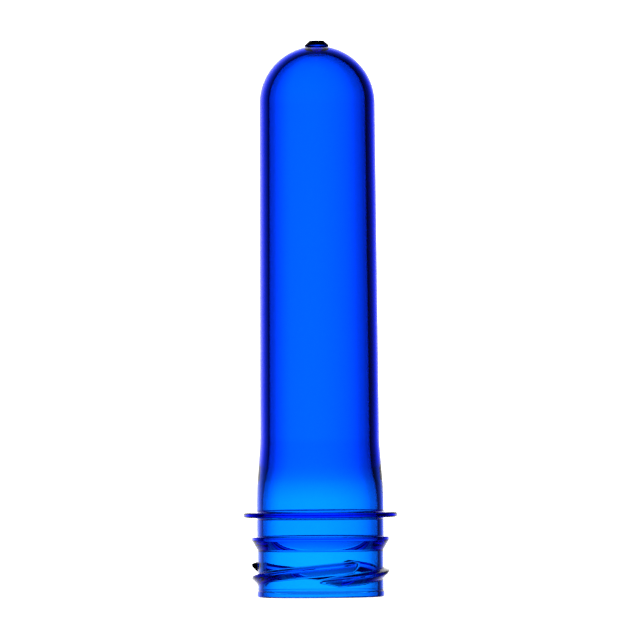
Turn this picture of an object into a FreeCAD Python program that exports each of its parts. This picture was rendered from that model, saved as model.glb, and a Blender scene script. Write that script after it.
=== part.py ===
import FreeCAD, Part

import math
import os

import Sketcher


# One PET bottle preform, as it leaves the injection mould: the finished screw
# neck of the later bottle, and the thick, closed tube below it that is blown
# into the bottle. It stands on its mouth: the lip plane is z = 0, the axis of
# the bore is Z, and the gate is at the top.

NODE = "preform"

# Driving sizes, in millimetres and degrees: name, value, meaning.
SIZES = (
    ("overall_length", 120.35, "lip plane to the top of the gate"),
    # Neck finish
    ("bore_diameter", 24.8, "straight bore through the neck"),
    ("lip_diameter", 27.64, "plain band behind the sealing face"),
    ("lip_height", 1.22, "height of that band"),
    ("lip_step", 0.2, "height of the chamfer from the band to the thread root"),
    ("lip_break", 0.25, "bevel on the outer edge of the lip"),
    ("mouth_break", 0.25, "bevel on the inner edge of the lip"),
    ("root_diameter", 27.26, "wall between the threads"),
    ("neck_diameter", 27.56, "wall between the locking bead and the support ring"),
    # Locking bead, which holds the tear-off band of a cap
    ("bead_diameter", 29.79, "over the bead"),
    ("bead_height", 13.1, "lip plane to the bead's flat shoulder"),
    ("bead_land", 0.8, "cylindrical land of the bead"),
    ("bead_ramp_angle", 30.5, "ramp on the mouth side, from the axis"),
    ("bead_break", 0.2, "bevel on the bead's edges"),
    # Support ring, which carries the preform on rails and in grippers
    ("ring_diameter", 33.4, "over the ring"),
    ("ring_height", 18.38, "lip plane to the ring's flat face on the body side"),
    ("ring_root_thickness", 1.45, "ring where it meets the neck"),
    ("ring_rim_thickness", 1.12, "ring at its rim"),
    ("ring_rim_break", 0.3, "bevel on the edges of the ring's rim"),
    ("ring_fillet", 0.7, "fillet on the body side of the ring"),
    # Thread: several equal starts, right-handed
    ("thread_starts", 3, "number of starts"),
    ("thread_pitch", 2.78, "from one ridge to the next, along the axis"),
    ("thread_diameter", 29.75, "over the thread"),
    ("thread_height", 3.97, "lip plane to the crest where a ridge is first full"),
    ("thread_span", 133.0, "angle over which a ridge is full"),
    ("thread_lead_in", 18.0, "angle over which a ridge rises from the wall at its start"),
    ("thread_run_out", 6.0, "angle over which it falls back to the wall at its end"),
    ("thread_angle", 48.0, "where the first ridge is first full, from +X"),
    ("crest_width", 0.6, "flat crest of a ridge"),
    ("load_flank_angle", 20.0, "flank on the ring side, from square to the axis"),
    ("lead_flank_angle", 45.0, "flank on the mouth side, from square to the axis"),
    ("rooting", 0.5, "how deep ridges, bead and ring are rooted in the wall"),
    ("thread_sink", 0.1, "how deep a ridge's faded end lies below the wall"),
    # Body
    ("skirt_diameter", 27.58, "wall just past the support ring"),
    ("skirt_length", 4.42, "ring face to the start of the shoulder"),
    ("shoulder_length", 10.65, "length of the shoulder's taper"),
    ("body_diameter", 25.91, "body at the end of the shoulder"),
    ("body_draft", 0.32, "draft of the body"),
    ("skirt_blend", 60.0, "blend from the skirt into the shoulder"),
    ("body_blend", 28.0, "blend from the shoulder into the body"),
    # Core side
    ("body_wall", 2.13, "wall at the end of the shoulder"),
    ("core_draft", 0.35, "draft of the core in the body"),
    ("core_delay", 0.1, "how much later the core's taper starts"),
    ("core_shoulder_length", 7.7, "length of the core's taper"),
    ("dome_wall", 1.9, "wall at the middle of the dome"),
    # Gate
    ("gate_height", 1.09, "top of the dome to the top of the gate"),
    ("gate_base_diameter", 5.2, "gate at the dome"),
    ("gate_top_diameter", 3.05, "gate at its top"),
    ("gate_cone_height", 0.95, "height of the gate's cone"),
    ("gate_break", 0.15, "bevel on the gate's top edge"),
)

# Heights that several features share, worked out from the sheet.
APEX = "Sizes.overall_length - Sizes.gate_height"
SHOULDER_START = "Sizes.ring_height + Sizes.skirt_length"
SHOULDER_END = SHOULDER_START + " + Sizes.shoulder_length"
CORE_TAPER_START = SHOULDER_START + " + Sizes.core_delay"
CORE_TAPER_END = CORE_TAPER_START + " + Sizes.core_shoulder_length"
CORE_RADIUS = "Sizes.body_diameter / 2 - Sizes.body_wall"
LEAD = "Sizes.thread_starts * Sizes.thread_pitch"

# The shoulder's blends keep their radius while they fit on the straights
# beside them: a blend reaches radius * tan(half the turn) from its corner.
HALF_TURN = "tan(abs(atan((Sizes.skirt_diameter - Sizes.body_diameter) / 2 / Sizes.shoulder_length)) / 2)"
SKIRT_BLEND = "min(Sizes.skirt_blend; 0.8 * Sizes.skirt_length / %s)" % HALF_TURN
BODY_BLEND = "min(Sizes.body_blend; 0.4 * Sizes.shoulder_length / %s)" % HALF_TURN

# Distance within which an edge counts as lying at a stated radius and height.
EDGE_TOLERANCE = 0.01


def make_sheet(doc):
    """Spreadsheet with the driving sizes, one alias a row."""
    sheet = doc.addObject("Spreadsheet::Sheet", "Sizes")
    for row, (name, value, meaning) in enumerate(SIZES, 1):
        sheet.set("A%d" % row, name)
        sheet.set("B%d" % row, str(value))
        sheet.set("C%d" % row, meaning)
        sheet.setAlias("B%d" % row, name)
    doc.recompute()
    return sheet


def origin_feature(body, role):
    """Origin plane or axis of a body, by its role."""
    return next(item for item in body.Origin.OriginFeatures if item.Role == role)


def number(body, expression):
    """Value of an expression over the sheet, as a plain number."""
    value = body.evalExpression(expression)
    return float(getattr(value, "Value", value))


def new_sketch(body, name):
    """Sketch in the XZ plane: x is the radius, y the height."""
    sketch = body.newObject("Sketcher::SketchObject", name)
    sketch.AttachmentSupport = [(origin_feature(body, "XZ_Plane"), "")]
    sketch.MapMode = "FlatFace"
    return sketch


def pin_point(sketch, geometry, end, radius, height):
    """Fix a line's end at a radius and height given as expressions."""
    for kind, axis, expression in (("DistanceX", -2, radius), ("DistanceY", -1, height)):
        if expression == "0":
            sketch.addConstraint(Sketcher.Constraint("PointOnObject", geometry, end, axis))
            continue
        value = number(sketch, expression)
        index = sketch.addConstraint(Sketcher.Constraint(kind, -1, 1, geometry, end, value))
        sketch.setExpression("Constraints[%d]" % index, expression)


def round_corner(sketch, line, size):
    """Round the corner at a line's start; the corner keeps its own sizes."""
    arc = len(sketch.Geometry)
    sketch.fillet(line, 1, number(sketch, size), True, True)
    index = sketch.addConstraint(Sketcher.Constraint("Radius", arc, number(sketch, size)))
    sketch.setExpression("Constraints[%d]" % index, size)


def round_corners(sketch, corners):
    """Round the corners that name a radius."""
    for line, corner in enumerate(corners):
        if len(corner) > 2:
            round_corner(sketch, line, corner[2])


def corner_points(body, corners):
    """Corners as points of the sketch plane."""
    return [FreeCAD.Vector(number(body, corner[0]), number(body, corner[1]), 0) for corner in corners]


def closed_outline(body, name, corners):
    """Sketch of a closed outline through corners (radius, height[, round])."""
    sketch = new_sketch(body, name)
    points = corner_points(body, corners)
    for index, point in enumerate(points):
        sketch.addGeometry(Part.LineSegment(point, points[(index + 1) % len(points)]))
    for index, corner in enumerate(corners):
        before = (index - 1) % len(corners)
        sketch.addConstraint(Sketcher.Constraint("Coincident", before, 2, index, 1))
        pin_point(sketch, index, 1, corner[0], corner[1])
    round_corners(sketch, corners)
    return sketch


def domed_outline(body, name, corners, draft, apex):
    """Sketch of a closed outline that rises through its corners, then at a
    draft to a dome that is tangent to it and centred on the axis."""
    sketch = new_sketch(body, name)
    points = corner_points(body, corners)
    slope = math.radians(number(body, draft))
    top = number(body, apex)
    foot = points[-1]
    # Sphere through the apex that touches the drafted wall.
    dome = (foot.x - (top - foot.y) * math.tan(slope)) / (1 / math.cos(slope) - math.tan(slope))
    centre = FreeCAD.Vector(0, top - dome, 0)
    touch = centre + FreeCAD.Vector(dome * math.cos(slope), dome * math.sin(slope), 0)
    for start, end in zip(points, points[1:] + [touch]):
        sketch.addGeometry(Part.LineSegment(start, end))
    wall = len(corners) - 1
    circle = Part.Circle(centre, FreeCAD.Vector(0, 0, 1), dome)
    arc = sketch.addGeometry(Part.ArcOfCircle(circle, slope, math.pi / 2))
    axis = sketch.addGeometry(Part.LineSegment(FreeCAD.Vector(0, top, 0), points[0]))
    for index, corner in enumerate(corners):
        if index:
            sketch.addConstraint(Sketcher.Constraint("Coincident", index - 1, 2, index, 1))
        pin_point(sketch, index, 1, corner[0], corner[1])
    sketch.addConstraint(Sketcher.Constraint("Tangent", wall, 2, arc, 1))
    sketch.addConstraint(Sketcher.Constraint("PointOnObject", arc, 3, -2))
    sketch.addConstraint(Sketcher.Constraint("Coincident", arc, 2, axis, 1))
    sketch.addConstraint(Sketcher.Constraint("Coincident", axis, 2, 0, 1))
    pin_point(sketch, axis, 1, "0", apex)
    index = sketch.addConstraint(Sketcher.Constraint("Angle", -2, wall, slope))
    sketch.setExpression("Constraints[%d]" % index, draft)
    round_corners(sketch, corners)
    return sketch


def turn(body, kind, name, sketch):
    """Revolution or groove of a sketch, a full turn about the axis."""
    feature = body.newObject("PartDesign::" + kind, name)
    feature.Profile = sketch
    feature.ReferenceAxis = (sketch, ["V_Axis"])
    feature.Angle = 360
    sketch.Document.recompute()
    return feature


def rim_edges(feature, radius, height):
    """Names of a feature's circular edges at a radius and height."""
    names = []
    for index, edge in enumerate(feature.Shape.Edges, 1):
        curve = None if edge.Degenerated else edge.Curve
        if not isinstance(curve, Part.Circle):
            continue
        near_radius = abs(curve.Radius - radius) < EDGE_TOLERANCE
        near_height = abs(curve.Center.z - height) < EDGE_TOLERANCE
        if near_radius and near_height:
            names.append("Edge%d" % index)
    if not names:
        raise RuntimeError("no edge at radius %.3f, height %.3f" % (radius, height))
    return names


def break_edges(body, kind, name, size, places):
    """Chamfer or fillet of the body's circular edges at (radius, height)."""
    base = body.Tip
    names = []
    for radius, height in places:
        names += rim_edges(base, number(body, radius), number(body, height))
    feature = body.newObject("PartDesign::" + kind, name)
    feature.Base = (base, names)
    feature.setExpression("Size" if kind == "Chamfer" else "Radius", size)
    body.Document.recompute()
    return feature


def make_wall(body):
    """Outside of the preform as a solid, with the neck, shoulder and dome."""
    corners = (
        ("0", "0"),
        ("Sizes.lip_diameter / 2", "0"),
        ("Sizes.lip_diameter / 2", "Sizes.lip_height"),
        ("Sizes.root_diameter / 2", "Sizes.lip_height + Sizes.lip_step"),
        ("Sizes.root_diameter / 2", "Sizes.bead_height - Sizes.bead_land"),
        ("Sizes.neck_diameter / 2", "Sizes.bead_height - Sizes.bead_land"),
        ("Sizes.neck_diameter / 2", "Sizes.ring_height - Sizes.ring_rim_thickness"),
        ("Sizes.skirt_diameter / 2", "Sizes.ring_height - Sizes.ring_rim_thickness"),
        ("Sizes.skirt_diameter / 2", SHOULDER_START, SKIRT_BLEND),
        ("Sizes.body_diameter / 2", SHOULDER_END, BODY_BLEND),
    )
    sketch = domed_outline(body, "WallOutline", corners, "Sizes.body_draft", APEX)
    return turn(body, "Revolution", "Wall", sketch)


def make_bead(body):
    """Locking bead: a ramp that a cap's band slides over, and a flat shoulder."""
    land_start = "Sizes.bead_height - Sizes.bead_land"
    rise = "(Sizes.bead_diameter - Sizes.root_diameter) / 2"
    ramp_start = "%s - %s / tan(Sizes.bead_ramp_angle * 1deg)" % (land_start, rise)
    inside = "Sizes.root_diameter / 2 - Sizes.rooting"
    corners = (
        (inside, ramp_start),
        ("Sizes.root_diameter / 2", ramp_start),
        ("Sizes.bead_diameter / 2", land_start),
        ("Sizes.bead_diameter / 2", "Sizes.bead_height"),
        (inside, "Sizes.bead_height"),
    )
    return turn(body, "Revolution", "Bead", closed_outline(body, "BeadOutline", corners))


def make_ring(body):
    """Support ring: flat on the body side, thinner towards its rim."""
    inside = "Sizes.neck_diameter / 2 - Sizes.rooting"
    root = "Sizes.ring_height - Sizes.ring_root_thickness"
    corners = (
        (inside, root),
        ("Sizes.neck_diameter / 2", root),
        ("Sizes.ring_diameter / 2", "Sizes.ring_height - Sizes.ring_rim_thickness"),
        ("Sizes.ring_diameter / 2", "Sizes.ring_height"),
        (inside, "Sizes.ring_height"),
    )
    return turn(body, "Revolution", "SupportRing", closed_outline(body, "RingOutline", corners))


def make_gate(body):
    """Gate left by the hot runner: a low cone on the middle of the dome."""
    inside = "%s - Sizes.dome_wall / 2" % APEX
    cone_foot = "Sizes.overall_length - Sizes.gate_cone_height"
    corners = (
        ("0", inside),
        ("Sizes.gate_base_diameter / 2", inside),
        ("Sizes.gate_base_diameter / 2", cone_foot),
        ("Sizes.gate_top_diameter / 2", "Sizes.overall_length"),
        ("0", "Sizes.overall_length"),
    )
    return turn(body, "Revolution", "Gate", closed_outline(body, "GateOutline", corners))


def make_core(body):
    """Cavity left by the core pin: bore, taper and a domed, drafted tube."""
    corners = (
        ("0", "0"),
        ("Sizes.bore_diameter / 2", "0"),
        ("Sizes.bore_diameter / 2", CORE_TAPER_START),
        (CORE_RADIUS, CORE_TAPER_END),
    )
    sketch = domed_outline(body, "CoreOutline", corners, "Sizes.core_draft", APEX + " - Sizes.dome_wall")
    return turn(body, "Groove", "Core", sketch)


def make_edges(body):
    """Bevels on the outer edges, and the fillet that carries the ring."""
    ring = "Sizes.ring_diameter / 2"
    bead = "Sizes.bead_diameter / 2"
    ring_rim = ((ring, "Sizes.ring_height"), (ring, "Sizes.ring_height - Sizes.ring_rim_thickness"))
    bead_rim = ((bead, "Sizes.bead_height"), (bead, "Sizes.bead_height - Sizes.bead_land"))
    skirt_foot = (("Sizes.skirt_diameter / 2", "Sizes.ring_height"),)
    lip = (("Sizes.lip_diameter / 2", "0"),)
    mouth = (("Sizes.bore_diameter / 2", "0"),)
    gate = (("Sizes.gate_top_diameter / 2", "Sizes.overall_length"),)
    break_edges(body, "Fillet", "RingFillet", "Sizes.ring_fillet", skirt_foot)
    break_edges(body, "Chamfer", "RingRim", "Sizes.ring_rim_break", ring_rim)
    break_edges(body, "Chamfer", "BeadRim", "Sizes.bead_break", bead_rim)
    break_edges(body, "Chamfer", "LipEdge", "Sizes.lip_break", lip)
    break_edges(body, "Chamfer", "MouthEdge", "Sizes.mouth_break", mouth)
    break_edges(body, "Chamfer", "GateEdge", "Sizes.gate_break", gate)


def ridge_section(body, name, crest, turn_angle):
    """Sketch of a ridge's section: two flanks and a flat crest, from a root
    inside the wall. It is turned about the axis from the ridge's first full
    section, and lifted by the lead on the way."""
    root = "Sizes.root_diameter / 2 - Sizes.rooting"
    low = "Sizes.thread_height - Sizes.crest_width / 2"
    high = "Sizes.thread_height + Sizes.crest_width / 2"
    flank = " (%s - (%s)) * tan(Sizes.%s * 1deg)"
    corners = (
        (root, low + " -" + flank % (crest, root, "lead_flank_angle")),
        (crest, low),
        (crest, high),
        (root, high + " +" + flank % (crest, root, "load_flank_angle")),
    )
    sketch = closed_outline(body, name, corners)
    upright = FreeCAD.Vector(0, 1, 0)
    sketch.AttachmentOffset = FreeCAD.Placement(FreeCAD.Vector(), FreeCAD.Rotation(upright, 1))
    sketch.setExpression(".AttachmentOffset.Rotation.Angle", "Sizes.thread_angle + %s" % turn_angle)
    sketch.setExpression(".AttachmentOffset.Base.y", "%s * (%s) / 360" % (LEAD, turn_angle))
    body.Document.recompute()
    return sketch


def fade(body, name, full, faded):
    """End of a ridge: a loft from its full section to one below the wall."""
    loft = body.newObject("PartDesign::AdditiveLoft", name)
    loft.Profile = full
    loft.Sections = [faded]
    body.Document.recompute()
    return loft


def make_thread(body):
    """Thread: one ridge on a helix, faded at both ends, repeated as starts."""
    full = "Sizes.thread_diameter / 2"
    sunk = "Sizes.root_diameter / 2 - Sizes.thread_sink"
    first = ridge_section(body, "RidgeFirst", full, "0")
    last = ridge_section(body, "RidgeLast", full, "Sizes.thread_span")
    before = ridge_section(body, "RidgeBefore", sunk, "-Sizes.thread_lead_in")
    after = ridge_section(body, "RidgeAfter", sunk, "Sizes.thread_span + Sizes.thread_run_out")
    ridge = body.newObject("PartDesign::AdditiveHelix", "Ridge")
    ridge.Profile = first
    ridge.ReferenceAxis = (first, ["V_Axis"])
    ridge.Mode = "pitch-turns-angle"
    ridge.setExpression("Pitch", LEAD)
    ridge.setExpression("Turns", "Sizes.thread_span / 360")
    body.Document.recompute()
    lead_in = fade(body, "RidgeLeadIn", first, before)
    run_out = fade(body, "RidgeRunOut", last, after)
    starts = body.newObject("PartDesign::PolarPattern", "Thread")
    starts.Originals = [ridge, lead_in, run_out]
    starts.Axis = (origin_feature(body, "Z_Axis"), [""])
    starts.Angle = 360
    starts.setExpression("Occurrences", "Sizes.thread_starts")
    body.Tip = starts
    body.Document.recompute()
    return starts


def main():
    """Build the preform and write its STEP file."""
    doc = FreeCAD.newDocument("PreformModel")
    make_sheet(doc)
    body = doc.addObject("PartDesign::Body", NODE)
    body.Label = NODE
    make_wall(body)
    make_bead(body)
    make_ring(body)
    make_gate(body)
    make_core(body)
    make_edges(body)
    make_thread(body)
    doc.recompute()
    for item in doc.Objects:
        if "Invalid" in item.State or "Error" in item.State:
            raise RuntimeError("%s did not build: %s" % (item.Name, item.State))
    shape = body.Shape
    if shape.isNull() or not shape.isValid() or len(shape.Solids) != 1:
        raise RuntimeError("the preform is not one valid solid")
    os.makedirs("parts", exist_ok=True)
    shape.exportStep(os.path.join("parts", body.Label + ".step"))
    print("%s: %.1f mm3" % (body.Label, shape.Volume))


if __name__ == "__main__":
    main()
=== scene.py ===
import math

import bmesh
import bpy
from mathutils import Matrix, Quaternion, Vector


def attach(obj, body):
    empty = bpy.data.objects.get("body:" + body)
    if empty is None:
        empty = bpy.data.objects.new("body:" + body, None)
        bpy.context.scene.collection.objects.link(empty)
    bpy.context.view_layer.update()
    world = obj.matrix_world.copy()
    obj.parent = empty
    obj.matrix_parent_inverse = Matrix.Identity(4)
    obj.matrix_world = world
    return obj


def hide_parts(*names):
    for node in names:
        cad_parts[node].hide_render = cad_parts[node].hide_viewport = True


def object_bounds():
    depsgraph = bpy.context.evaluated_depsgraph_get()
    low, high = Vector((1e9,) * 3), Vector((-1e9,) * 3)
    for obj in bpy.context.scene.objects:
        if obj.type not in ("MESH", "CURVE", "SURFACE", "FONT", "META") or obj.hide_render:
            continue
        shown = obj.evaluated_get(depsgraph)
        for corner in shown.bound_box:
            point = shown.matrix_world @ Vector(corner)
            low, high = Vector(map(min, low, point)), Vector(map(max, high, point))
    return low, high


bl_info = {
    "name": "PET Preform",
    "version": (1, 0),
    "blender": (4, 5, 0),
    "location": "View3D > Sidebar > Preform",
    "description": "Clear tinted bottle preform with a three-start neck, on a pale studio floor",
    "category": "Add Mesh",
}

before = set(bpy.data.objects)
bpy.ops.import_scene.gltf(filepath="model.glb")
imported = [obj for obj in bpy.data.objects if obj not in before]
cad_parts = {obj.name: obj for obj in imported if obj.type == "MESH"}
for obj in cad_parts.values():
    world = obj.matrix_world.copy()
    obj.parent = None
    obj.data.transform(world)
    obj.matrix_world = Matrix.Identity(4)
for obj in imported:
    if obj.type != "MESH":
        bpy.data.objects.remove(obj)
CAD_LOW, CAD_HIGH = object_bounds()

NODE = "preform"
PIECE = "preform_moulding"
BODY = "root"
MERGE_DISTANCE = 1e-6
RIM_RADIUS = (CAD_HIGH.x - CAD_LOW.x) / 2
TOP = CAD_HIGH.z

# Reach of the rounds on the lip's step, in metres, and how finely the
# section's rounds are divided.
STEP_ROUND = 0.00008
SMALL_ROUND = 3
EDGE_ROUND = 4
PLAIN_ROUND = 6
TUBE_ROUND = 8
SKIRT_ROUND = 12
CORE_ROUND = 14

# Shading: the widest face at a vertex sets its normal.
WIDEST_FACE = 100

# Stage, in metres where it is a length.
FLOOR_SIDES = 128
FLOOR_DROP = 0.00002
FLOOR_GREY = 0.9
FLOOR_ROUGHNESS = 0.8
FLOOR_GLOW = 1.2
MOUTH_SIDES = 96
SENSOR_WIDTH = 36.0
CLIP_START = 0.1
CLIP_END = 100.0
LIGHT_BOUNCES = 32
FULL_TURN = 360


def length(name, description, default):
    """A length in metres."""
    return bpy.props.FloatProperty(
        name=name, description=description, default=default, subtype="DISTANCE", unit="LENGTH", precision=5
    )


def angle(name, description, degrees):
    """An angle, given here in degrees."""
    return bpy.props.FloatProperty(
        name=name, description=description, default=math.radians(degrees), subtype="ANGLE", unit="ROTATION"
    )


def number(name, description, default):
    """A plain number."""
    return bpy.props.FloatProperty(name=name, description=description, default=default, precision=4)


def count(name, description, default):
    """A whole number."""
    return bpy.props.IntProperty(name=name, description=description, default=default, min=1)


def colour(name, description, default):
    """A linear colour."""
    return bpy.props.FloatVectorProperty(
        name=name, description=description, default=default, size=3, subtype="COLOR", min=0.0, max=1.0
    )


class PREFORM_PG_neck(bpy.types.PropertyGroup):
    """Neck finish, from the lip plane at z = 0 to the support ring."""

    bore_radius: length("Bore radius", "Straight bore through the neck", 0.0124)
    lip_radius: length("Lip radius", "Plain band behind the sealing face", 0.01382)
    lip_height: length("Lip height", "Height of that band", 0.00122)
    lip_step: length("Lip step", "Height of the step down to the thread root", 0.0002)
    lip_round: length("Lip round", "Round on the outer edge of the lip", 0.0004)
    mouth_round: length("Mouth round", "Round on the inner edge of the lip", 0.0003)
    root_radius: length("Root radius", "Wall between the thread ridges", 0.01363)
    neck_radius: length("Neck radius", "Wall between the bead and the ring", 0.01378)
    bead_radius: length("Bead radius", "Over the locking bead", 0.014895)
    bead_height: length("Bead height", "Lip plane to the bead's shoulder", 0.0131)
    bead_land: length("Bead land", "Cylindrical land of the bead", 0.0008)
    bead_ramp: length("Bead ramp", "Axial length of the bead's ramp", 0.00215)
    bead_round: length("Bead round", "Round on the bead's edges", 0.0002)
    ring_height: length("Ring height", "Lip plane to the ring's face on the tube side", 0.01838)
    ring_root: length("Ring root", "Thickness of the ring at the neck", 0.00145)
    ring_rim: length("Ring rim", "Thickness of the ring at its rim", 0.00112)
    ring_round: length("Ring round", "Round on the ring's rim", 0.00035)
    root_fillet: length("Root fillet", "Fillets where bead and ring meet the neck", 0.00022)


class PREFORM_PG_thread(bpy.types.PropertyGroup):
    """Thread ridges."""

    starts: count("Starts", "Number of ridges", 3)
    pitch: length("Pitch", "From one ridge to the next, along the axis", 0.00278)
    crest_radius: length("Crest radius", "Over the ridges, from the axis", 0.014875)
    height: length("Height", "Lip plane to the crest where a ridge is first full", 0.00397)
    first: angle("First angle", "Where the first ridge is first full, from +X", 48.0)
    span: angle("Full span", "Angle over which a ridge is full", 133.0)
    lead_in: angle("Lead-in", "Angle over which a ridge rises from the wall at its start", 18.0)
    run_out: angle("Run-out", "Angle over which it falls back to the wall at its end", 6.0)
    crest_width: length("Crest width", "Width of the crest", 0.0006)
    load_flank: angle("Load flank", "Flank on the ring side, from square to the axis", 20.0)
    lead_flank: angle("Lead flank", "Flank on the mouth side, from square to the axis", 45.0)
    sink: length("Sink", "How deep a ridge's faded end lies below the wall", 0.0001)
    softness: length("Softness", "Blend over the crest's edges and along the root", 0.00025)
    low: length("Low end", "Start of the finely divided wall", 0.0021)
    high: length("High end", "End of the finely divided wall", 0.0088)
    rows: count("Rows", "Divisions of that wall along the axis", 110)


class PREFORM_PG_tube(bpy.types.PropertyGroup):
    """Tube that is blown into the bottle, its core side and its gate."""

    skirt_radius: length("Skirt radius", "Wall just past the support ring", 0.01379)
    skirt_length: length("Skirt length", "Ring face to the start of the shoulder", 0.00442)
    shoulder_length: length("Shoulder length", "Length of the shoulder's taper", 0.01065)
    radius: length("Tube radius", "Tube at the end of the shoulder", 0.012955)
    draft: angle("Draft", "Draft of the tube", 0.32)
    skirt_blend: length("Skirt blend", "Half length of the blend into the shoulder", 0.0023)
    tube_blend: length("Tube blend", "Half length of the blend into the tube", 0.0011)
    ring_fillet: length("Ring fillet", "Fillet on the tube side of the ring", 0.00048)
    core_delay: length("Core delay", "How much later the core's taper starts", 0.0001)
    core_length: length("Core taper", "Length of the core's taper", 0.0077)
    core_draft: angle("Core draft", "Draft of the core", 0.35)
    core_blend: length("Core blend", "Half length of the blends of the core", 0.0026)
    wall: length("Wall", "Wall at the end of the shoulder", 0.00213)
    dome_wall: length("Dome wall", "Wall at the middle of the dome", 0.0019)
    gate_height: length("Gate height", "Dome to the top of the gate", 0.00109)
    gate_base: length("Gate base", "Radius of the gate at the dome", 0.0026)
    gate_top: length("Gate top", "Radius of the gate at its top", 0.001525)
    gate_cone: length("Gate cone", "Height of the gate's cone", 0.00095)
    gate_round: length("Gate round", "Rounds of the gate's edges", 0.00015)
    dome_rows: count("Dome rows", "Divisions of each dome from its foot to the gate", 36)
    columns: count("Columns", "Divisions round the axis", 300)


class PREFORM_PG_finish(bpy.types.PropertyGroup):
    """Clear, tinted PET."""

    ior: number("IOR", "Refractive index of amorphous PET", 1.575)
    density: number("Density", "Absorption per metre where the tint is black", 3000.0)
    tint: colour("Tint", "What passes the dyed plastic", (0.0, 0.787, 0.99))
    waviness: length("Waviness", "Depth of the faint flow waves in the surface", 0.00001)
    wave_scale: number("Wave scale", "Flow waves per metre round the tube", 120.0)
    wave_stretch: number("Wave stretch", "How much longer the waves are along the axis", 5.0)
    gate_haze: number("Gate haze", "Roughness of the broken gate", 0.06)
    gate_depth: length("Gate depth", "How far the haze reaches down from the gate", 0.0014)


class PREFORM_PG_studio(bpy.types.PropertyGroup):
    """Camera, floor and light."""

    distance: length("Distance", "Camera to the preform's axis", 2.38)
    elevation: angle("Elevation", "Camera above the horizontal", -0.35)
    roll: angle("Roll", "Lean of the camera", 0.438)
    aside: length("Aside", "Where the camera looks, to the right of the axis", 0.00027)
    look_height: length("Look height", "Where the camera looks, above the floor", 0.0599)
    width: length("Frame width", "Width of the frame at the axis", 0.13837)
    light: number("Light", "Strength of the white backdrop", 2.75)
    floor_radius: length("Floor radius", "Radius of the floor", 0.25)
    # Painted light: colour of the self-glowing disc inside the mouth, standing in for light through the
    # tinted wall.
    painted_mouth_light_colour: colour("Glow", "Light on the floor inside the mouth, tinted by the wall", (0.2, 0.43, 1.0))


def sizes(context):
    """The add-on's settings."""
    return context.scene.preform


def corner(radius, height, reach=0.0, segments=PLAIN_ROUND):
    """Corner of the section, with how far its round reaches along its sides."""
    return radius, height, reach, segments


def dome_foot(foot, height, slope, top):
    """Radius and height at which a drafted wall touches the dome tangent to it."""
    rise = top - height
    dome = (foot - rise * math.tan(slope)) / (1 / math.cos(slope) - math.tan(slope))
    return dome * math.cos(slope), top - dome + dome * math.sin(slope)


def section_corners(neck, thread, tube):
    """Corners of the section, from the foot of the core's dome to that of the tube's."""
    shoulder = neck.ring_height + tube.skirt_length
    shoulder_end = shoulder + tube.shoulder_length
    core_start = shoulder + tube.core_delay
    core_end = core_start + tube.core_length
    core_radius = tube.radius - tube.wall
    apex = TOP - tube.gate_height
    land = neck.bead_height - neck.bead_land
    core_apex = apex - tube.dome_wall
    core_foot, core_foot_height = dome_foot(core_radius, core_end, tube.core_draft, core_apex)
    tube_foot, tube_foot_height = dome_foot(tube.radius, shoulder_end, tube.draft, apex)
    return [
        corner(core_foot, core_foot_height),
        corner(core_radius, core_end, tube.core_blend, CORE_ROUND),
        corner(neck.bore_radius, core_start, tube.core_blend, CORE_ROUND),
        corner(neck.bore_radius, 0.0, neck.mouth_round),
        corner(neck.lip_radius, 0.0, neck.lip_round),
        corner(neck.lip_radius, neck.lip_height, STEP_ROUND, SMALL_ROUND),
        corner(neck.root_radius, neck.lip_height + neck.lip_step, STEP_ROUND, SMALL_ROUND),
        corner(neck.root_radius, thread.low),
        corner(neck.root_radius, thread.high),
        corner(neck.root_radius, land - neck.bead_ramp, neck.root_fillet, EDGE_ROUND),
        corner(neck.bead_radius, land, neck.bead_round, EDGE_ROUND),
        corner(neck.bead_radius, neck.bead_height, neck.bead_round, EDGE_ROUND),
        corner(neck.neck_radius, neck.bead_height, neck.root_fillet),
        corner(neck.neck_radius, neck.ring_height - neck.ring_root, neck.root_fillet),
        corner(RIM_RADIUS, neck.ring_height - neck.ring_rim, neck.ring_round),
        corner(RIM_RADIUS, neck.ring_height, neck.ring_round),
        corner(tube.skirt_radius, neck.ring_height, tube.ring_fillet),
        corner(tube.skirt_radius, shoulder, tube.skirt_blend, SKIRT_ROUND),
        corner(tube.radius, shoulder_end, tube.tube_blend, TUBE_ROUND),
        corner(tube_foot, tube_foot_height),
    ]


def chain(bm, corners, start=None):
    """Chain of edges through the corners in the XZ plane."""
    verts = [] if start is None else [start]
    for radius, height, _, _ in corners:
        verts.append(bm.verts.new((radius, 0.0, height)))
        if len(verts) > 1:
            bm.edges.new(verts[-2:])
    return verts


def round_corners(bm, verts, corners):
    """Round each corner that has a reach."""
    for vert, (_, _, reach, segments) in zip(verts, corners):
        if reach:
            bmesh.ops.bevel(
                bm, geom=[vert], offset=reach, offset_type="OFFSET", segments=segments,
                profile=0.5, affect="VERTICES", clamp_overlap=False, material=-1,
            )


def sweep_dome(bm, vert, centre, turned, steps):
    """Continue the section from a dome's foot along its arc; returns the arc's end."""
    made = bmesh.ops.spin(
        bm, geom=[vert], cent=(0.0, 0.0, centre), axis=(0.0, 1.0, 0.0), dvec=(0.0, 0.0, 0.0),
        angle=-turned, steps=steps, use_merge=False, use_normal_flip=False, use_duplicate=False,
    )
    return next(item for item in made["geom_last"] if isinstance(item, bmesh.types.BMVert))


def wall_between(bm, radius, low, high):
    """The section's edge that runs up a radius from one height to another."""
    for edge in bm.edges:
        ends = sorted((vert.co.z, vert.co.x) for vert in edge.verts)
        wanted = ((low, radius), (high, radius))
        if all(abs(a - b) < MERGE_DISTANCE for end, want in zip(ends, wanted) for a, b in zip(end, want)):
            return edge
    raise RuntimeError("the section has no wall for the thread")


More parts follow.
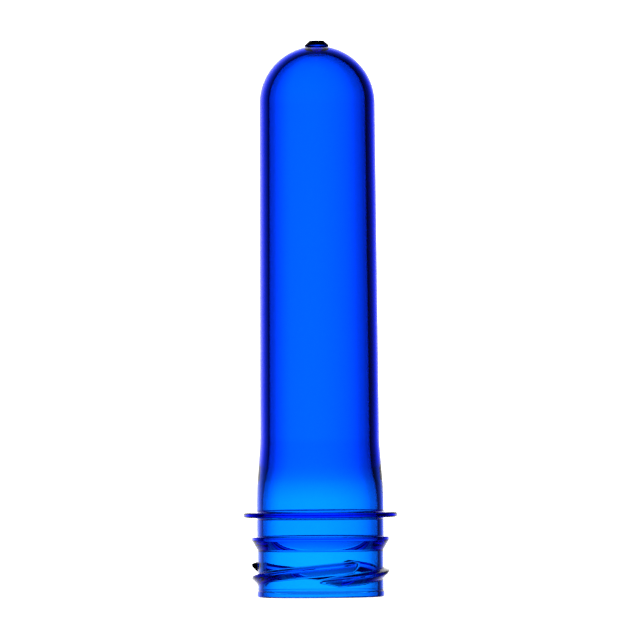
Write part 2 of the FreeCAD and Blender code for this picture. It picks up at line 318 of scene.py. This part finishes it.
def build_section(bm, neck, thread, tube):
    """The preform's section: core side, neck and outside, open only at the axis."""
    corners = section_corners(neck, thread, tube)
    verts = chain(bm, corners)
    apex = TOP - tube.gate_height
    core_apex = apex - tube.dome_wall
    core_foot, tube_foot = verts[0], verts[-1]
    round_corners(bm, verts, corners)
    core_dome = math.hypot(core_foot.co.x, core_foot.co.x * math.tan(tube.core_draft))
    sweep_dome(bm, core_foot, core_apex - core_dome, math.pi / 2 - tube.core_draft, tube.dome_rows)
    tube_dome = math.hypot(tube_foot.co.x, tube_foot.co.x * math.tan(tube.draft))
    turned = math.acos(tube.gate_base / tube_dome) - tube.draft
    dome_end = sweep_dome(bm, tube_foot, apex - tube_dome, turned, tube.dome_rows)
    gate = [
        corner(tube.gate_base, TOP - tube.gate_cone, tube.gate_round, SMALL_ROUND),
        corner(tube.gate_top, TOP, tube.gate_round, SMALL_ROUND),
        corner(0.0, TOP),
    ]
    gate_verts = chain(bm, gate, dome_end)
    round_corners(bm, gate_verts, [corner(0.0, 0.0, tube.gate_round, SMALL_ROUND)] + gate)
    wall = wall_between(bm, neck.root_radius, thread.low, thread.high)
    bmesh.ops.subdivide_edges(bm, edges=[wall], cuts=thread.rows - 1)


def smooth_least(first, second, blend):
    """Lesser of two heights, with the corner between them rounded."""
    near = max(blend - abs(first - second), 0.0) / blend
    return min(first, second) - near * near * blend / 4


def smooth_most(first, second, blend):
    """Greater of two heights, with the corner between them rounded."""
    return -smooth_least(-first, -second, blend)


def ridge_radius(thread, root, along, height):
    """Radius of one ridge's surface, a given angle past its first full section."""
    past = max(-along / thread.lead_in, (along - thread.span) / thread.run_out, 0.0)
    crest = thread.crest_radius - past * (thread.crest_radius - root + thread.sink)
    lead = thread.starts * thread.pitch
    offset = height - (thread.height + lead * along / math.tau)
    load = crest - (offset - thread.crest_width / 2) / math.tan(thread.load_flank)
    lead_side = crest + (offset + thread.crest_width / 2) / math.tan(thread.lead_flank)
    flanks = smooth_least(load, lead_side, thread.softness)
    return smooth_least(flanks, crest, thread.softness)


def raise_thread(bm, neck, thread):
    """Raise the ridges out of the finely divided wall."""
    reach = thread.span + thread.run_out
    for vert in bm.verts:
        radius = math.hypot(vert.co.x, vert.co.y)
        if abs(radius - neck.root_radius) > 2 * MERGE_DISTANCE or not thread.low < vert.co.z < thread.high:
            continue
        around = math.atan2(vert.co.y, vert.co.x)
        surface = radius
        for start in range(thread.starts):
            along = (around - thread.first - start * math.tau / thread.starts) % math.tau
            along = along - math.tau if along > reach else along
            if along > -thread.lead_in:
                ridge = ridge_radius(thread, neck.root_radius, along, vert.co.z)
                surface = smooth_most(surface, ridge, thread.softness)
        vert.co.x *= surface / radius
        vert.co.y *= surface / radius


def make_mesh_object(name, bm):
    """Object at the origin that holds a bmesh, smooth shaded."""
    mesh = bpy.data.meshes.new(name)
    bmesh.ops.recalc_face_normals(bm, faces=bm.faces)
    for face in bm.faces:
        face.smooth = True
    bm.to_mesh(mesh)
    bm.free()
    piece = bpy.data.objects.new(name, mesh)
    bpy.context.scene.collection.objects.link(piece)
    return piece


def flow_waves(nodes, links, place, finish):
    """Normal with the faint long waves that the melt leaves along the tube."""
    stretch = nodes.new("ShaderNodeMapping")
    stretch.inputs["Scale"].default_value = (1.0, 1.0, 1 / finish.wave_stretch)
    links.new(place.outputs["Object"], stretch.inputs["Vector"])
    noise = nodes.new("ShaderNodeTexNoise")
    noise.inputs["Scale"].default_value = finish.wave_scale
    noise.inputs["Detail"].default_value = 1.0
    links.new(stretch.outputs["Vector"], noise.inputs["Vector"])
    bump = nodes.new("ShaderNodeBump")
    bump.inputs["Distance"].default_value = finish.waviness
    links.new(noise.outputs["Fac"], bump.inputs["Height"])
    return bump.outputs["Normal"]


def gate_haze(nodes, links, place, finish):
    """Roughness that rises from nothing to the haze of the broken gate."""
    split = nodes.new("ShaderNodeSeparateXYZ")
    links.new(place.outputs["Object"], split.inputs["Vector"])
    rise = nodes.new("ShaderNodeMapRange")
    rise.inputs["From Min"].default_value = TOP - finish.gate_depth
    rise.inputs["From Max"].default_value = TOP
    rise.inputs["To Max"].default_value = finish.gate_haze
    links.new(split.outputs["Z"], rise.inputs["Value"])
    return rise.outputs["Result"]


def tinted_pet(finish):
    """Glass-clear moulded PET with the dye in its volume."""
    material = bpy.data.materials.new("tinted_pet_moulded")
    material.use_nodes = True
    nodes, links = material.node_tree.nodes, material.node_tree.links
    surface = nodes["Principled BSDF"]
    output = nodes["Material Output"]
    surface.inputs["Base Color"].default_value = (1.0, 1.0, 1.0, 1.0)
    surface.inputs["Roughness"].default_value = 0.0
    surface.inputs["IOR"].default_value = finish.ior
    surface.inputs["Transmission Weight"].default_value = 1.0
    dye = nodes.new("ShaderNodeVolumeAbsorption")
    dye.inputs["Color"].default_value = (*finish.tint, 1.0)
    dye.inputs["Density"].default_value = finish.density
    links.new(dye.outputs["Volume"], output.inputs["Volume"])
    place = nodes.new("ShaderNodeTexCoord")
    links.new(flow_waves(nodes, links, place, finish), surface.inputs["Normal"])
    links.new(gate_haze(nodes, links, place, finish), surface.inputs["Roughness"])
    return material


class PREFORM_OT_moulding(bpy.types.Operator):
    """Build the preform: spin its section, raise its thread and give it its finish"""

    bl_idname = "preform.moulding"
    bl_label = "Preform"
    bl_options = {"REGISTER", "UNDO"}

    def execute(self, context):
        settings = sizes(context)
        bm = bmesh.new()
        build_section(bm, settings.neck, settings.thread, settings.tube)
        bmesh.ops.spin(
            bm, geom=bm.verts[:] + bm.edges[:], cent=(0.0, 0.0, 0.0), axis=(0.0, 0.0, 1.0),
            dvec=(0.0, 0.0, 0.0), angle=math.tau, steps=settings.tube.columns,
            use_merge=True, use_normal_flip=False, use_duplicate=False,
        )
        bmesh.ops.remove_doubles(bm, verts=bm.verts, dist=MERGE_DISTANCE)
        raise_thread(bm, settings.neck, settings.thread)
        piece = make_mesh_object(PIECE, bm)
        weights = piece.modifiers.new("Even shading", "WEIGHTED_NORMAL")
        weights.weight = WIDEST_FACE
        piece.data.materials.append(tinted_pet(settings.finish))
        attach(piece, BODY)
        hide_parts(NODE)
        return {"FINISHED"}


def profile(nodes, name, points):
    """Curve node through (angle in degrees, strength relative to the light)."""
    curve = nodes.new("ShaderNodeFloatCurve")
    curve.label = name
    line = curve.mapping.curves[0]
    while len(line.points) > 2:
        line.points.remove(line.points[-1])
    places = [(turned / FULL_TURN + 0.5, strength) for turned, strength in points]
    for point, place in zip(line.points, (places[0], places[-1])):
        point.location = place
    for place in places[1:-1]:
        line.points.new(*place)
    for point in line.points:
        point.handle_type = "VECTOR"
    curve.mapping.update()
    return curve


# Strength of the backlight to the left and right of straight behind the
# preform, and below and above it, in degrees and relative to its brightest.
ACROSS = (
    (-180, 0.005), (-90, 0.004), (-65, 0.001), (-50, 0.02), (-40, 0.116), (-32, 0.247), (-25, 0.364),
    (-18, 0.49), (-12, 0.727), (-6, 1.0), (0, 0.873), (6, 0.727), (12, 0.48), (18, 0.393), (25, 0.193),
    (32, 0.069), (40, 0.022), (50, 0.009), (65, 0.004), (90, 0.003), (180, 0.005),
)
UPWARD = (
    (-180, 0.01), (-55, 0.01), (-40, 0.08), (-25, 0.4), (-12, 0.85), (0, 1.0), (12, 0.85), (25, 0.4),
    (40, 0.08), (55, 0.01), (180, 0.01),
)


def math_node(nodes, links, operation, *values):
    """Math node; a value is a number or a socket."""
    node = nodes.new("ShaderNodeMath")
    node.operation = operation
    for socket, value in zip(node.inputs, values):
        if isinstance(value, (int, float)):
            socket.default_value = value
        else:
            links.new(value, socket)
    return node.outputs["Value"]


def studio_world(scene, studio):
    """White backlight behind the preform, nearly black all round it. The camera
    itself sees plain white."""
    world = bpy.data.worlds.new("Studio")
    scene.world = world
    world.use_nodes = True
    nodes, links = world.node_tree.nodes, world.node_tree.links
    background = nodes["Background"]
    background.inputs["Color"].default_value = (1.0, 1.0, 1.0, 1.0)
    place = nodes.new("ShaderNodeTexCoord")
    split = nodes.new("ShaderNodeSeparateXYZ")
    links.new(place.outputs["Generated"], split.inputs["Vector"])
    x, y, z = (split.outputs[axis] for axis in "XYZ")
    aside = math_node(nodes, links, "ARCTAN2", x, y)
    up = math_node(nodes, links, "ARCSINE", z)
    strength = studio.light
    for name, turned, points in (("Across", aside, ACROSS), ("Upward", up, UPWARD)):
        share = math_node(nodes, links, "MULTIPLY_ADD", turned, 1 / math.tau, 0.5)
        curve = profile(nodes, name, points)
        links.new(share, curve.inputs["Value"])
        strength = math_node(nodes, links, "MULTIPLY", curve.outputs["Value"], strength)
    path = nodes.new("ShaderNodeLightPath")
    seen = nodes.new("ShaderNodeMix")
    seen.data_type = "FLOAT"
    seen.inputs["B"].default_value = studio.light
    links.new(path.outputs["Is Camera Ray"], seen.inputs["Factor"])
    links.new(strength, seen.inputs["A"])
    links.new(seen.outputs["Result"], background.inputs["Strength"])


def paper(name, inputs):
    """Material of a piece of the stage, with the given inputs of its shader."""
    material = bpy.data.materials.new(name)
    material.use_nodes = True
    shade = material.node_tree.nodes["Principled BSDF"]
    for key, value in inputs.items():
        shade.inputs[key].default_value = value
    return material


def disc(name, radius, sides, material):
    """Flat disc of the stage, at the origin."""
    bm = bmesh.new()
    bmesh.ops.create_circle(bm, cap_ends=True, segments=sides, radius=radius)
    piece = make_mesh_object(name, bm)
    piece.data.materials.append(material)
    return piece


def pale_floor(studio):
    """Floor under the preform, which the clear plastic neither mirrors nor shows."""
    floor = disc("studio_floor", studio.floor_radius, FLOOR_SIDES, paper("pale_floor", {
        "Base Color": (FLOOR_GREY, FLOOR_GREY, FLOOR_GREY, 1.0),
        "Roughness": FLOOR_ROUGHNESS,
        "Emission Color": (1.0, 1.0, 1.0, 1.0),
        "Emission Strength": FLOOR_GLOW,
    }))
    floor.location.z = -FLOOR_DROP
    floor.visible_transmission = False
    floor.visible_glossy = False
    return floor


def painted_mouth_light(neck, studio):
    """Painted light: a blue disc on the floor inside the mouth that glows by itself, standing in for light
    through the tinted wall; it is no lamp.
    """
    radius = neck.bore_radius - neck.mouth_round
    return disc("painted_mouth_light", radius, MOUTH_SIDES, paper("painted_light_inside_mouth", {
        "Base Color": (0.0, 0.0, 0.0, 1.0),
        "Specular IOR Level": 0.0,
        # Painted light: the disc's own blue emission, not a lamp.
        "Emission Color": (*studio.painted_mouth_light_colour, 1.0),
        "Emission Strength": 1.0,
    }))


class PREFORM_OT_stage(bpy.types.Operator):
    """Set up the floor, the light and the camera"""

    bl_idname = "preform.stage"
    bl_label = "Stage"
    bl_options = {"REGISTER", "UNDO"}

    def execute(self, context):
        scene = context.scene
        studio = sizes(context).studio
        studio_world(scene, studio)
        pale_floor(studio)
        # Painted light: self-glowing disc on the floor inside the mouth.
        painted_mouth_light(sizes(context).neck, studio)
        add_camera(scene, studio)
        scene.view_settings.view_transform = "Standard"
        for name in ("max_bounces", "transmission_bounces", "glossy_bounces"):
            setattr(scene.cycles, name, LIGHT_BOUNCES)
        return {"FINISHED"}


def add_camera(scene, studio):
    """Long lens at the height of the tube's middle."""
    data = bpy.data.cameras.new("Camera")
    data.sensor_width = SENSOR_WIDTH
    data.lens = data.sensor_width * studio.distance / studio.width
    data.clip_start = CLIP_START
    data.clip_end = CLIP_END
    camera = bpy.data.objects.new("Camera", data)
    scene.collection.objects.link(camera)
    target = Vector((studio.aside, 0.0, studio.look_height))
    back = Vector((0.0, -math.cos(studio.elevation), math.sin(studio.elevation)))
    camera.location = target + back * studio.distance
    turned = (-back).to_track_quat("-Z", "Y").to_euler().to_quaternion()
    camera.rotation_mode = "QUATERNION"
    camera.rotation_quaternion = turned @ Quaternion((0.0, 0.0, 1.0), -studio.roll)
    scene.camera = camera


class PREFORM_PG_settings(bpy.types.PropertyGroup):
    """All settings of the add-on."""

    neck: bpy.props.PointerProperty(type=PREFORM_PG_neck)
    thread: bpy.props.PointerProperty(type=PREFORM_PG_thread)
    tube: bpy.props.PointerProperty(type=PREFORM_PG_tube)
    finish: bpy.props.PointerProperty(type=PREFORM_PG_finish)
    studio: bpy.props.PointerProperty(type=PREFORM_PG_studio)


class PREFORM_PT_panel(bpy.types.Panel):
    """Settings and operators of the preform"""

    bl_idname = "PREFORM_PT_panel"
    bl_label = "Preform"
    bl_space_type = "VIEW_3D"
    bl_region_type = "UI"
    bl_category = "Preform"

    def draw(self, context):
        settings = sizes(context)
        for operator, groups in (
            (PREFORM_OT_moulding, ("neck", "thread", "tube", "finish")),
            (PREFORM_OT_stage, ("studio",)),
        ):
            for name in groups:
                group = getattr(settings, name)
                box = self.layout.box()
                box.label(text=name.capitalize())
                for key in group.__annotations__:
                    box.prop(group, key)
            self.layout.operator(operator.bl_idname)


CLASSES = (
    PREFORM_PG_neck,
    PREFORM_PG_thread,
    PREFORM_PG_tube,
    PREFORM_PG_finish,
    PREFORM_PG_studio,
    PREFORM_PG_settings,
    PREFORM_OT_moulding,
    PREFORM_OT_stage,
    PREFORM_PT_panel,
)


def register():
    for cls in CLASSES:
        bpy.utils.register_class(cls)
    bpy.types.Scene.preform = bpy.props.PointerProperty(type=PREFORM_PG_settings)


def unregister():
    del bpy.types.Scene.preform
    for cls in reversed(CLASSES):
        bpy.utils.unregister_class(cls)


def main():
    """Register the add-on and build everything."""
    register()
    bpy.ops.preform.moulding()
    bpy.ops.preform.stage()


if __name__ == "__main__":
    main()
